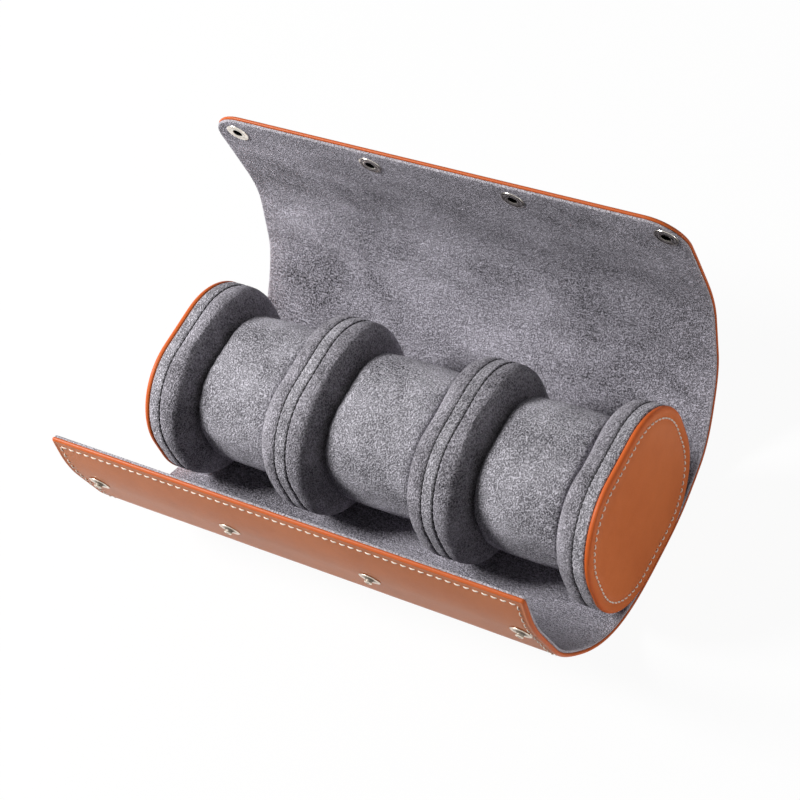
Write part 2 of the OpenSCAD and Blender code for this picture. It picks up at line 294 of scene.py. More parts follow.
def cut_strip(layer, curl, label, first, last, corner):
    """A closed strip of one layer between two lengths along a flap, rimmed wherever the real sheet ends."""
    reach = curl.reach
    free = last >= reach - 0.01
    rows = rows_between(first, reach if free else last, reach, corner, layer.inset, free)
    grid = np.array([[(s * half_at(a, reach, corner, layer.inset), a) for s in ACROSS] for a in rows])
    n_rows, n_cols = grid.shape[:2]
    beside = np.array([[half_at(a, reach, corner, 0) - abs(x) for x, a in row] for row in grid])
    edge = np.minimum(beside, reach - grid[:, :, 1])
    points, mask = [], []

    def put(x, along, offset, depth):
        point, normal = curl.at(along)
        points.append(curl.place(x, point, normal, offset))
        mask.append(layer.rim_mask(depth))

    for face, base, sign in ((layer.far_face, layer.far, 1), (layer.near_face, layer.near, -1)):
        for j in range(n_rows):
            for i in range(n_cols):
                x, along = grid[j, i]
                put(x, along, base + sign * face(x, along, edge[j, i], curl.side), edge[j, i])
    # The rim runs round the strip once: along its first row, up one side, back and down
    loop = [(0, i) for i in range(n_cols)] + [(j, n_cols - 1) for j in range(1, n_rows)]
    loop += [(n_rows - 1, i) for i in range(n_cols - 2, -1, -1)] + [(j, 0) for j in range(n_rows - 2, 0, -1)]
    ways = [rim_way(grid, j, i, free) for j, i in loop]
    rings = [[j * n_cols + i for j, i in loop]]
    for out, offset in layer.rim:
        ring = []
        for (j, i), way in zip(loop, ways):
            rimmed = np.linalg.norm(way) > 0.5
            x, along = grid[j, i] + way * out
            ring.append(len(points))
            put(x, along, offset, 0 if rimmed else edge[j, i])
        rings.append(ring)
    under = n_rows * n_cols
    rings.append([under + j * n_cols + i for j, i in loop])
    faces = []
    for j in range(n_rows - 1):
        for i in range(n_cols - 1):
            a = j * n_cols + i
            faces.append((a, a + 1, a + n_cols + 1, a + n_cols))
            faces.append((under + a, under + a + n_cols, under + a + n_cols + 1, under + a + 1))
    count = len(loop)
    for ring, following in zip(rings, rings[1:]):
        for i in range(count):
            k = (i + 1) % count
            faces.append((ring[i], following[i], following[k], ring[k]))
    if curl.side > 0:
        faces = [tuple(reversed(f)) for f in faces]
    return make_piece(f"{layer.name}_{label}", points, faces, layer.finish, masks={layer.mask: mask})


def color(r, g, b):
    """A colour from its 0 to 255 values on a screen."""
    values = [v / 255 for v in (r, g, b)]
    return tuple(v / 12.92 if v <= 0.04045 else ((v + 0.055) / 1.055) ** 2.4 for v in values) + (1.0,)


def node(tree, kind, **values):
    """A node with its settings and inputs. An input is _number or its name, and a given output is linked."""
    made = tree.nodes.new(kind)
    for key, value in values.items():
        if key in made.bl_rna.properties:
            setattr(made, key, value)
    for key, value in values.items():
        if key in made.bl_rna.properties:
            continue
        socket = made.inputs[int(key[1:])] if key[0] == "_" else made.inputs[key.replace("_", " ")]
        if isinstance(value, bpy.types.NodeSocket):
            tree.links.new(value, socket)
        else:
            socket.default_value = value
    return made


def noise(tree, place, scale, detail=4, roughness=0.55, distortion=0.0):
    return node(
        tree, "ShaderNodeTexNoise", Vector=place, Scale=scale, Detail=detail, Roughness=roughness,
        Distortion=distortion,
    ).outputs["Fac"]


def spread(tree, value, low, high, to_low=0.0, to_high=1.0):
    """A value's range stretched to another range and held inside it."""
    ranged = node(tree, "ShaderNodeMapRange", Value=value, _1=low, _2=high, _3=to_low, _4=to_high)
    return ranged.outputs["Result"]


def reckon(tree, operation, a, b):
    return node(tree, "ShaderNodeMath", operation=operation, _0=a, _1=b).outputs[0]


def blend_colors(tree, share, a, b):
    return node(tree, "ShaderNodeMix", data_type="RGBA", _0=share, _6=a, _7=b).outputs[2]


def new_group(name, inputs, outputs):
    """An empty shader node group with named sockets, and its two ends."""
    group = bpy.data.node_groups.new(name, "ShaderNodeTree")
    for label, kind in inputs:
        group.interface.new_socket(label, in_out="INPUT", socket_type=f"NodeSocket{kind}")
    for label, kind in outputs:
        group.interface.new_socket(label, in_out="OUTPUT", socket_type=f"NodeSocket{kind}")
    return group, group.nodes.new("NodeGroupInput").outputs, group.nodes.new("NodeGroupOutput").inputs


def new_finish(name):
    """A material, its tree, its surface shader and the object's own coordinates."""
    finish = bpy.data.materials.new(name)
    finish.use_nodes = True
    tree = finish.node_tree
    return finish, tree, tree.nodes["Principled BSDF"], node(tree, "ShaderNodeTexCoord").outputs["Object"]


def product(tree, a, b):
    return reckon(tree, "MULTIPLY", a, b)


def total(tree, a, b):
    return reckon(tree, "ADD", a, b)


def emboss(tree, shader, height, strength, distance):
    """Bump from a height on a material's surface shader."""
    bump = node(tree, "ShaderNodeBump", Strength=strength, Distance=distance, Height=height)
    tree.links.new(bump.outputs["Normal"], shader.inputs["Normal"])


# Leather grain: pores, a faint mottle and slow clouds of tone, for the shell and the disc faces
GRAIN, given, out = new_group(
    "leather_grain",
    [("Place", "Vector"), ("Deep", "Color"), ("Light", "Color"), ("Pores per metre", "Float"),
     ("Clouds per metre", "Float"), ("Smoothest", "Float"), ("Roughest", "Float")],
    [("Color", "Color"), ("Roughness", "Float"), ("Height", "Float")],
)
clouds = noise(GRAIN, given["Place"], given["Clouds per metre"], detail=4, distortion=0.4)
mottle = noise(GRAIN, given["Place"], product(GRAIN, given["Clouds per metre"], 8.0), roughness=0.6)
pores = node(
    GRAIN, "ShaderNodeTexVoronoi", Vector=given["Place"], Scale=given["Pores per metre"]
).outputs["Distance"]
hairs = noise(GRAIN, given["Place"], product(GRAIN, given["Pores per metre"], 1.6), detail=2)
tone = total(GRAIN, spread(GRAIN, clouds, 0.35, 0.65, 0, 0.65), spread(GRAIN, mottle, 0.3, 0.7, 0, 0.35))
relief = total(GRAIN, product(GRAIN, pores, 0.6), product(GRAIN, mottle, 0.5))
GRAIN.links.new(blend_colors(GRAIN, tone, given["Deep"], given["Light"]), out["Color"])
GRAIN.links.new(
    spread(GRAIN, total(GRAIN, pores, hairs), 0.2, 1.2, given["Smoothest"], given["Roughest"]),
    out["Roughness"],
)
GRAIN.links.new(relief, out["Height"])

# Edge wear: turns a mesh's rim mask into an uneven share of the rim's own colour
WEAR, given, out = new_group(
    "edge_wear", [("Place", "Vector"), ("Mask", "Float"), ("Patches per metre", "Float"), ("Least", "Float")],
    [("Share", "Float")],
)
patches = noise(WEAR, given["Place"], given["Patches per metre"], detail=3)
uneven = spread(WEAR, patches, 0.3, 0.7, given["Least"], 1.0)
WEAR.links.new(product(WEAR, given["Mask"], uneven), out["Share"])


def leather_finish(name, deep, light, rim, smoothest, roughest, coat):
    """Smooth tan leather whose cut edge is burnished to another tone."""
    finish, tree, shader, place = new_finish(name)
    grain = node(
        tree, "ShaderNodeGroup", node_tree=GRAIN, Place=place, Deep=deep, Light=light, Pores_per_metre=1500,
        Clouds_per_metre=16, Smoothest=smoothest, Roughest=roughest,
    ).outputs
    mask = node(tree, "ShaderNodeAttribute", attribute_name="edge").outputs["Fac"]
    worn = node(
        tree, "ShaderNodeGroup", node_tree=WEAR, Place=place, Mask=mask, Patches_per_metre=160, Least=0.7
    ).outputs["Share"]
    tree.links.new(blend_colors(tree, worn, grain["Color"], rim), shader.inputs["Base Color"])
    tree.links.new(grain["Roughness"], shader.inputs["Roughness"])
    shader.inputs["Specular IOR Level"].default_value = 0.2
    shader.inputs["Coat Weight"].default_value = coat
    shader.inputs["Coat Roughness"].default_value = 0.3
    emboss(tree, shader, grain["Height"], 0.14, 0.0004)
    return finish


SHELL_LEATHER = leather_finish(
    "shell_leather", color(166, 92, 46), color(186, 108, 60), color(200, 94, 40), 0.34, 0.46, 0.06
)
CREASE_AT = 2.5
STITCHED_AT = 4.2
# The rim's section, out from the rounded edge's start and up through the wall
LEATHER_RIM = [(0.45, 3.12), (0.85, 2.85), (1.1, 2.45), (1.2, 2.1), (1.12, 1.75), (0.9, 1.5)]


def groove(depth, place, width):
    return math.exp(-(((depth - place) / width) ** 2))


def leather_outside(x, along, edge, side):
    """A bead at the edge, a pressed crease, a stitched line that draws in, and faint waves."""
    bead = 0.12 * groove(edge, 1.2, 0.7)
    pressed = -0.26 * groove(edge, CREASE_AT, 0.45) - 0.16 * groove(edge, STITCHED_AT, 0.7)
    return bead + pressed + wave(x, side * along, 0, 34, 0.14, 3.1) * min(edge / 8, 1)


def flat_face(x, along, edge, side):
    return 0.0


LEATHER_LAYER = Layer(
    "leather", SHELL_LEATHER, "tan_leather", LINING, WALL, 1.2, LEATHER_RIM, flat_face, leather_outside,
    "edge", lambda edge: math.exp(-max(edge - 0.4, 0) / 0.6),
)

# Each strip bends between two knots of its curve, from one body to the next. Its label comes first, then
# its first and last knot, the two bodies, the knots that the bend lies between and the panels it stands for.
LID_STRIPS = [
    ("lid_foot", 0, 1, "base", "lid_1", None, ["base_{}"]),
    ("lid_low", 1, 3, "lid_1", "lid_2", (1, 2), ["lid_{}_1", "lid_{}_2"]),
    ("lid_back", 3, 4, "lid_2", "lid_3", (3, 4), ["lid_{}_3"]),
    ("lid_mid", 4, 5, "lid_3", "lid_4", (4, 5), ["lid_{}_4"]),
    ("lid_high", 5, 6, "lid_4", "lid_5", (5, 6), ["lid_{}_5"]),
    ("lid_end", 6, 8, "lid_5", "lid_6", (6, 7), ["lid_{}_6"]),
]
FLAP_STRIPS = [
    ("flap_foot", 0, 1, "base", "flap_1", None, ["flap_{}_1"]),
    ("flap_low", 1, 2, "flap_1", "flap_2", (1, 2), ["flap_{}_2"]),
    ("flap_mid", 2, 3, "flap_2", "flap_3", (2, 3), ["flap_{}_3"]),
    ("flap_high", 3, 4, "flap_3", "flap_4", (3, 4), ["flap_{}_4"]),
    ("flap_end", 4, 6, "flap_4", "flap_5", (4, 5), ["flap_{}_5"]),
]
# Half of the stretch over which the sheet bends beside the base
FOOT_BEND = 7


def every_strip():
    """Each strip's flap, corner radius and label, where it starts and ends along the flap, the two bodies
    that it bends between, the two points where it does so, and the panels it stands for."""
    for curl, strips, corner in ((LID, LID_STRIPS, LID_CORNER), (FLAP, FLAP_STRIPS, FLAP_CORNER)):
        for label, first, last, low, high, knots, panels in strips:
            ends = bend_ends(curl, knots)
            yield curl, corner, label, curl.knot_runs[first], curl.knot_runs[last], (low, high), ends, panels


def bend_ends(curl, knots):
    """Where a strip starts and stops bending: at its two knots, or close round the bend by the base."""
    if knots:
        ends = [curl.knots[k] for k in knots]
    else:
        ends = [curl.corners[1] + np.array([d, 0]) for d in (-FOOT_BEND, FOOT_BEND)]
    return [Vector(curl.place(0, end, np.zeros(2), 0)) * MM for end in ends]


def lay_layer(layer, word, holes=None):
    """Cuts every strip of a layer and hides the solids' panels that it stands for; word is its name in the
    solids.
    """
    for curl, corner, label, first, last, bodies, (start, end), panels in every_strip():
        strip = cut_strip(layer, curl, label, first, last, corner)
        if holes and label == "lid_end":
            holes(strip)
        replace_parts(strip, *[panel.format(word) for panel in panels])
        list(bodies)
        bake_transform(strip)
        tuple(start)
        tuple(end)


lay_layer(LEATHER_LAYER, "leather")

# ---------------------------------------------------------------- shell lining
# Grey brushed micro-suede is glued to the leather's inside and ends just short of its cut edge. The nap is
# brushed along the roll, so it shows long streaks, with a salt-and-pepper grain of dark and pale fibres.

# Brushed nap: fibre grain, broad patches of turned nap and streaks, for every suede piece
NAP, given, out = new_group(
    "brushed_nap",
    [("Place", "Vector"), ("Brushed", "Vector"), ("Dark", "Color"), ("Pale", "Color"),
     ("Fibres per metre", "Float"), ("Patches per metre", "Float"), ("Grain", "Float"),
     ("Patchiness", "Float")],
    [("Color", "Color"), ("Height", "Float")],
)
brushed = node(NAP, "ShaderNodeMapping", Vector=given["Place"], Scale=given["Brushed"]).outputs["Vector"]
fibres = noise(NAP, given["Place"], given["Fibres per metre"], detail=1.5, roughness=0.6)
combed = noise(NAP, brushed, product(NAP, given["Fibres per metre"], 0.8), detail=2)
patches = noise(NAP, given["Place"], given["Patches per metre"], detail=4, roughness=0.6, distortion=0.6)
streaks = noise(NAP, brushed, product(NAP, given["Patches per metre"], 3.2), detail=3, distortion=0.4)
grain = total(
    NAP, product(NAP, spread(NAP, fibres, 0.42, 0.58), 0.7),
    product(NAP, spread(NAP, combed, 0.42, 0.58), 0.3),
)
swept = total(NAP, spread(NAP, patches, 0.36, 0.64, 0, 0.62), spread(NAP, streaks, 0.36, 0.64, 0, 0.38))
tone = total(NAP, product(NAP, grain, given["Grain"]), product(NAP, swept, given["Patchiness"]))
NAP.links.new(blend_colors(NAP, tone, given["Dark"], given["Pale"]), out["Color"])
NAP.links.new(grain, out["Height"])


def suede_finish(name, dark, pale, brushed=(1.0, 1.0, 1.0), fibres=1350, patches=20, sheen=0.25, ruff=0.9):
    """Brushed suede: rough and dark face on, pale where it turns away and where its cut edge frays."""
    finish, tree, shader, place = new_finish(name)
    nap = node(
        tree, "ShaderNodeGroup", node_tree=NAP, Place=place, Brushed=brushed, Dark=dark, Pale=pale,
        Fibres_per_metre=fibres, Patches_per_metre=patches, Grain=0.6, Patchiness=0.4,
    ).outputs
    mask = node(tree, "ShaderNodeAttribute", attribute_name="frayed").outputs["Fac"]
    frayed = node(
        tree, "ShaderNodeGroup", node_tree=WEAR, Place=place, Mask=mask, Patches_per_metre=900, Least=0.3
    ).outputs["Share"]
    edged = blend_colors(tree, frayed, nap["Color"], color(214, 209, 216))
    tree.links.new(edged, shader.inputs["Base Color"])
    shader.inputs["Roughness"].default_value = 0.95
    shader.inputs["Specular IOR Level"].default_value = 0.15
    shader.inputs["Sheen Weight"].default_value = sheen
    shader.inputs["Sheen Roughness"].default_value = 0.4
    shader.inputs["Sheen Tint"].default_value = (0.9, 0.87, 0.95, 1)
    emboss(tree, shader, nap["Height"], ruff, 0.0008)
    return finish


LINING_SUEDE = suede_finish("lining_suede", color(16, 15, 18), color(216, 211, 223), brushed=(0.4, 1, 1))
LINING_RIM = [(0.4, 1.32), (0.75, 1.08), (0.87, 0.75), (0.78, 0.38), (0.45, 0.1)]


def lining_inside(x, along, edge, side):
    """Brushed cloth that lies in long soft waves, flat under the row of snaps, and thins at its edge."""
    waves = wave(x, side * along * 1.6, 0, 30, 0.24, 7.7) + wave(x, side * along, 0, 11, 0.08, 1.3)
    loose = min(edge / 10, 1) * (1 - groove(edge, SOCKET_MARGIN, 5))
    return waves * loose - 0.2 * math.exp(-edge / 1.2)


LINING_LAYER = Layer(
    "lining", LINING_SUEDE, "grey_suede_lining", 0.0, LINING, 1.2, LINING_RIM, lining_inside, flat_face,
    "frayed", lambda edge: math.exp(-max(edge - 0.3, 0) / 0.7),
)
# The snaps stand at even steps along both flaps, and each socket sits in a hole through the lining
SNAP_PITCH = 75.4
SNAP_SHIFT = 2.2
SNAP_PLACES = [SNAP_SHIFT + (i - 1.5) * SNAP_PITCH for i in range(4)]
SOCKET_HOLE = 2.6
HOLE_SIDES = 40
SOCKET_FACET = 7


def punch_sockets(strip):
    """Cuts the sockets' four round holes through the lid's end strip with cylinders."""
    point, normal = LID.on_facet(SOCKET_FACET, SOCKET_ALONG)
    away = Vector((0, *normal))
    tools = bmesh.new()
    for x in SNAP_PLACES:
        turn = away.to_track_quat("Z", "Y").to_matrix().to_4x4()
        middle = Matrix.Translation(Vector(LID.place(x, point, normal, LINING / 2)) * MM)
        bmesh.ops.create_cone(
            tools, cap_ends=True, segments=HOLE_SIDES, radius1=SOCKET_HOLE * MM, radius2=SOCKET_HOLE * MM,
            depth=3 * LINING * MM, matrix=middle @ turn,
        )
    punch = bpy.data.objects.new("punch", bpy.data.meshes.new("punch"))
    tools.to_mesh(punch.data)
    tools.free()
    bpy.context.collection.objects.link(punch)
    cut = strip.modifiers.new("holes", "BOOLEAN")
    cut.operation, cut.solver, cut.object = "DIFFERENCE", "EXACT", punch
    pierced = with_modifiers(strip)
    strip.modifiers.remove(cut)
    strip.data = pierced
    pierced.set_sharp_from_angle(angle=math.radians(50))
    bpy.data.objects.remove(punch)


lay_layer(LINING_LAYER, "lining", punch_sockets)

# ---------------------------------------------------------------- shell stitches
# A waxed pale thread is sewn through leather and lining, about 4 mm in from the edge, all the way round
# both flaps. Each stitch is a short arch of thread that dips into the leather at both its ends.
STITCH_PITCH = 4.4


def thread_finish(name, dark, pale):
    """Waxed thread: twisted plies as fine slanting bands."""
    finish, tree, shader, place = new_finish(name)
    plies = node(
        tree, "ShaderNodeTexWave", Vector=place, Scale=900, Distortion=2.0, Detail=1,
        bands_direction="DIAGONAL",
    ).outputs["Fac"]
    fleck = noise(tree, place, 700, detail=2)
    tone = total(tree, product(tree, plies, 0.6), product(tree, fleck, 0.4))
    tree.links.new(blend_colors(tree, tone, dark, pale), shader.inputs["Base Color"])
    shader.inputs["Roughness"].default_value = 0.6
    emboss(tree, shader, plies, 0.4, 0.0002)
    return finish


PALE_THREAD = thread_finish("pale_thread", color(222, 210, 192), color(250, 245, 234))

# The stitching tree lays one arched stitch on each mark, turned along the seam and up from it
SEWING = bpy.data.node_groups.new("sewing", "GeometryNodeTree")
SEWING_SIZES = [("Stitch length", "Float"), ("Thread radius", "Float"), ("Rise", "Float"), ("Lean", "Float")]
SEWING.interface.new_socket("Marks", in_out="INPUT", socket_type="NodeSocketGeometry")
for label, kind in SEWING_SIZES + [("Seed", "Int"), ("Thread", "Material")]:
    SEWING.interface.new_socket(label, in_out="INPUT", socket_type=f"NodeSocket{kind}")
SEWING.interface.new_socket("Stitches", in_out="OUTPUT", socket_type="NodeSocketGeometry")
given = SEWING.nodes.new("NodeGroupInput").outputs


def point_at(**values):
    return node(SEWING, "ShaderNodeCombineXYZ", **values).outputs[0]


dip = product(SEWING, given["Thread radius"], -0.35)
arch = node(
    SEWING, "GeometryNodeCurveQuadraticBezier", Resolution=6,
    Start=point_at(X=product(SEWING, given["Stitch length"], -0.5), Z=dip),
    Middle=point_at(Z=product(SEWING, given["Rise"], 2.0)),
    End=point_at(X=product(SEWING, given["Stitch length"], 0.5), Z=dip),
)
section = node(SEWING, "GeometryNodeCurvePrimitiveCircle", Resolution=7, Radius=given["Thread radius"])
tube = node(
    SEWING, "GeometryNodeCurveToMesh", Curve=arch.outputs[0], Profile_Curve=section.outputs[0], Fill_Caps=True
)


def seam_vector(key):
    named = node(SEWING, "GeometryNodeInputNamedAttribute", data_type="FLOAT_VECTOR")
    named.inputs["Name"].default_value = key
    return named.outputs[0]


turn = node(SEWING, "FunctionNodeAlignRotationToVector", axis="X", Vector=seam_vector("seam_way"))
turn = node(
    SEWING, "FunctionNodeAlignRotationToVector", axis="Z", pivot_axis="X", Rotation=turn.outputs[0],
    Vector=seam_vector("seam_up"),
)
lean = node(SEWING, "FunctionNodeRandomValue", data_type="FLOAT")
lean_inputs = [s for s in lean.inputs if s.enabled]
SEWING.links.new(product(SEWING, given["Lean"], -1.0), lean_inputs[0])
SEWING.links.new(given["Lean"], lean_inputs[1])
SEWING.links.new(given["Seed"], lean.inputs["Seed"])
lean_angle = [s for s in lean.outputs if s.enabled][0]
leaning = node(SEWING, "FunctionNodeAxisAngleToRotation", Axis=(0, 0, 1), Angle=lean_angle)
turn = node(
    SEWING, "FunctionNodeRotateRotation", rotation_space="LOCAL", Rotation=turn.outputs[0],
    Rotate_By=leaning.outputs[0],
)
placed = node(
    SEWING, "GeometryNodeInstanceOnPoints", Points=given["Marks"], Instance=tube.outputs[0],
    Rotation=turn.outputs[0],
)
real = node(SEWING, "GeometryNodeRealizeInstances", _0=placed.outputs[0])
smooth = node(SEWING, "GeometryNodeSetShadeSmooth", _0=real.outputs[0])
threaded = node(SEWING, "GeometryNodeSetMaterial", Geometry=smooth.outputs[0], Material=given["Thread"])
SEWING.links.new(threaded.outputs[0], SEWING.nodes.new("NodeGroupOutput").inputs[0])


def run_tree(name, mesh, tree, values):
    """Runs a geometry tree on a mesh with its inputs set by name, and keeps the result as one plain piece."""
    holder = bpy.data.objects.new(name + "_marks", mesh)
    bpy.context.collection.objects.link(holder)
    modifier = holder.modifiers.new("make", "NODES")
    modifier.node_group = tree
    for item in tree.interface.items_tree:
        if item.item_type == "SOCKET" and item.in_out == "INPUT" and item.name in values:
            modifier[item.identifier] = values[item.name]
    made = with_modifiers(holder)
    holder.modifiers.clear()
    bpy.data.objects.remove(holder)
    made.name = name
    piece = bpy.data.objects.new(name, made)
    bpy.context.collection.objects.link(piece)
    return piece


def sew(name, points, ways, ups, thread, length, radius, rise, seed=1):
    """Stitches centred on points in millimetres, each turned along its seam and up from it."""
    marks = bpy.data.meshes.new(name + "_marks")
    marks.from_pydata([tuple(MM * float(c) for c in p) for p in points], [], [])
    for key, values in (("seam_way", ways), ("seam_up", ups)):
        layer = marks.attributes.new(key, "FLOAT_VECTOR", "POINT")
        layer.data.foreach_set("vector", np.array(values, np.float32).ravel())
    sizes = {"Stitch length": length * MM, "Thread radius": radius * MM, "Rise": rise * MM, "Lean": 0.09}
    return run_tree(name, marks, SEWING, sizes | {"Seed": seed, "Thread": thread})


def sew_strip(curl, label, first, last, corner):
    """Pale stitches down both sides of a strip, and round its free edge."""
    points, ways, ups = [], [], []
    radius = max(corner - STITCHED_AT, 0.8)
    side_end = curl.reach - STITCHED_AT - radius

    def mark(x, along, way_x, way_along):
        point, normal = curl.at(along)
        lift = WALL + leather_outside(x, along, STITCHED_AT, curl.side) + 0.02
        points.append(curl.place(x, point, normal, lift))
        slope = np.array([-normal[1], normal[0]])
        ways.append((way_x, curl.side * way_along * slope[0], way_along * slope[1]))
        ups.append((0, curl.side * normal[0], normal[1]))

    rounded = corner > 5
    along = (side_end if rounded else curl.reach - STITCHED_AT) - STITCH_PITCH / 2
    while along > first:
        if along <= last:
            for side in (-1, 1):
                mark(side * (HALF - STITCHED_AT), along, 0, 1)
        along -= STITCH_PITCH
    if last >= curl.reach - 0.01:
        steps = round(radius * math.pi / 2 / STITCH_PITCH) if rounded else 0
        for k in range(steps):
            a = (k + 0.5) / steps * math.pi / 2
            for side in (-1, 1):
                x = side * (HALF - STITCHED_AT - radius + radius * math.cos(a))
                mark(x, side_end + radius * math.sin(a), -side * math.sin(a), math.cos(a))
        run = HALF - STITCHED_AT - (radius if rounded else 0)
        count = round(2 * run / STITCH_PITCH)
        for k in range(count):
            mark(-run + (k + 0.5) * 2 * run / count, curl.reach - STITCHED_AT, 1, 0)
    return sew(f"stitches_{label}", points, ways, ups, PALE_THREAD, 2.7, 0.31, 0.38)


for curl, corner, label, first, last, bodies, (start, end), panels in every_strip():
    stitches = sew_strip(curl, label, first, last, corner)
    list(bodies)
    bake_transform(stitches)
    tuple(start)
    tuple(end)

# ---------------------------------------------------------------- stiffening boards
# Two thin boards of pressed grey-brown fibre lie between the leather and the lining, one in the base and
# one in the wide panel of the lid. They keep their solids and only get their finish here.
board_finish, tree, shader, place = new_finish("fibre_board")
flecks = noise(tree, place, 500, detail=6, roughness=0.7)
pressed = blend_colors(tree, flecks, color(150, 132, 104), color(196, 180, 150))
tree.links.new(pressed, shader.inputs["Base Color"])
shader.inputs["Roughness"].default_value = 0.9
emboss(tree, shader, flecks, 0.3, 0.0003)


def refinish(names, finish):
    """Gives solids that keep their shape another finish."""
    for name in names:
        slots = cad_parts[name].data.materials
        slots.clear()
        slots.append(finish)


refinish(["base_board", "lid_board"], board_finish)

# ---------------------------------------------------------------- strip under the discs
# A flat strip of the same suede runs under the four discs. It is glued to the lining and sewn to the discs'
# gussets, and keeps them in a row. It keeps its solid and only gets its finish here.
# This suede is a paler copy of the lining's: painted light, for the light that falls on the gussets' rims
GUSSET_SUEDE = suede_finish("gusset_suede", color(26, 24, 28), color(240, 236, 245), patches=40)
refinish(["spine_strip"], GUSSET_SUEDE)

# ---------------------------------------------------------------- disc gussets
# Four flat drums of foam stand in a row. A 6 mm band of suede runs round the rim of each, turned in at both
# edges and sewn to the disc's two faces, so it stands a little proud between its two seams.
SPINE = 0.9
DISC_Z = WALL + SPINE + DISC_HALF_HEIGHT
INSERT_LENGTH = 241.4
INSERT_SHIFT = 6.1
GUSSET = 6
DISC_PAD = 12.2
FACE_CROWN = 3.6
DIVIDER_SHIFT = [-3.2, 0.2]
insert_ends = {-1: INSERT_SHIFT - INSERT_LENGTH / 2, 1: INSERT_SHIFT + INSERT_LENGTH / 2}
first_gusset = insert_ends[-1] + FACE_CROWN + GUSSET / 2
gusset_step = (INSERT_LENGTH - 2 * FACE_CROWN - GUSSET) / 3
# The middle of each gusset band, from the left end disc to the right one
GUSSET_AT = [
    first_gusset, first_gusset + gusset_step + DIVIDER_SHIFT[0],
    first_gusset + 2 * gusset_step + DIVIDER_SHIFT[1], first_gusset + 3 * gusset_step,
]


def outline(inset, share=1.0, count=96):
    """A disc's outline in Y and Z, pulled in by some millimetres, in even steps."""
    radius = max(DISC_RADIUS - inset, 1.0)
    a = DISC_HALF_DEPTH - max(DISC_RADIUS, inset + 1)
    b = DISC_HALF_HEIGHT - max(DISC_RADIUS, inset + 1)
    points = []
    for y, z, turn in [(a, b, 0), (-a, b, 90), (-a, -b, 180), (a, -b, 270)]:
        for angle in np.radians(np.linspace(turn, turn + 90, 46)):
            points.append((y + radius * math.cos(angle), z + radius * math.sin(angle)))
    points = np.array(points + points[:1])
    run = np.r_[0, np.cumsum(np.linalg.norm(np.diff(points, axis=0), axis=1))]
    steps = np.linspace(0, run[-1], count, endpoint=False)
    return share * np.c_[np.interp(steps, run, points[:, 0]), np.interp(steps, run, points[:, 1])]


def inset_of(y, z, share=1.0):
    """How far a point lies inside a disc's outline."""
    a = abs(y) / share - (DISC_HALF_DEPTH - DISC_RADIUS)
    b = abs(z) / share - (DISC_HALF_HEIGHT - DISC_RADIUS)
    return DISC_RADIUS - math.hypot(max(a, 0), max(b, 0)) - min(max(a, b), 0)


def smooth_profile(profile, count):
    """A smooth curve through a list of (inset, height), as count points."""
    p = np.array(profile, float)
    p = np.vstack([2 * p[0] - p[1], p, 2 * p[-1] - p[-2]])
    spans = len(profile) - 1
    points = []
    for s in np.linspace(0, spans, count):
        k = min(int(s), spans - 1)
        u = s - k
        a, b, c, d = p[k : k + 4]
        points.append(
            0.5 * (2 * b + (c - a) * u + (2 * a - 5 * b + 4 * c - d) * u * u + (3 * b - a - 3 * c + d) * u**3)
        )
    return points


def drum(name, rings, finish, start, way, share=1.0, around=96, sharp_degrees=60):
    """A closed form along X: each ring is (inset, height), and the first and last close over the middle."""
    points = [
        (start + way * height, y, z + DISC_Z)
        for inset, height in rings
        for y, z in outline(inset, share, around)
    ]
    first, last = len(points), len(points) + 1
    points += [(start + way * ring[1], 0, DISC_Z) for ring in (rings[0], rings[-1])]
    faces = []
    for j in range(len(rings) - 1):
        for i in range(around):
            k = (i + 1) % around
            a, b = j * around, (j + 1) * around
            faces.append((a + i, a + k, b + k, b + i))
    top = (len(rings) - 1) * around
    for i in range(around):
        k = (i + 1) % around
        faces += [(first, k, i), (last, top + i, top + k)]
    if way < 0:
        faces = [tuple(reversed(f)) for f in faces]
    return make_piece(name, points, faces, finish, sharp_degrees)


def band(name, middle):
    """One gusset band between its two seams, closed by the drum's flat sides under the pads."""
    edge = [(1.2, 0.0), (0.65, 0.08), (0.28, 0.5), (0.06, 1.2), (0, GUSSET / 2)]
    edge += [(inset, GUSSET - height) for inset, height in reversed(edge[:-1])]
    rings = [(31, 0.0), (16, 0.0)] + smooth_profile(edge, 24) + [(16, GUSSET), (31, GUSSET)]
    piece = drum(name, rings, GUSSET_SUEDE, middle - GUSSET / 2, 1, around=160)
    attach(piece, "base")
    return piece


for number, (middle, core) in enumerate(
    zip(GUSSET_AT, ["cap_core_left", "divider_core_1", "divider_core_2", "cap_core_right"]), 1
):
    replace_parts(band(f"gusset_{number}", middle), core)

# ---------------------------------------------------------------- disc pads
# Soft foam under suede stands on the sides of each disc that face a cushion. The cover is drawn in by its
# seam at the gusset, swells past it and rolls over into a full, slightly uneven face.
PAD_SUEDE = suede_finish("pad_suede", color(18, 16, 19), color(220, 215, 225), patches=34)
PAD_RINGS = [
    (1.4, 0.0), (0.75, 0.1), (0.3, 0.6), (0.05, 1.5), (0.0, 2.8), (0.15, 4.3), (0.6, 5.9), (1.4, 7.5),
    (2.9, 9.1), (5.3, 10.4), (8.6, 11.2), (13, 11.7), (20, 11.9), (27, 11.95), (34, 12.0),
]


# The frame of a cloth run at which a cover has settled
SETTLED_FRAME = 20


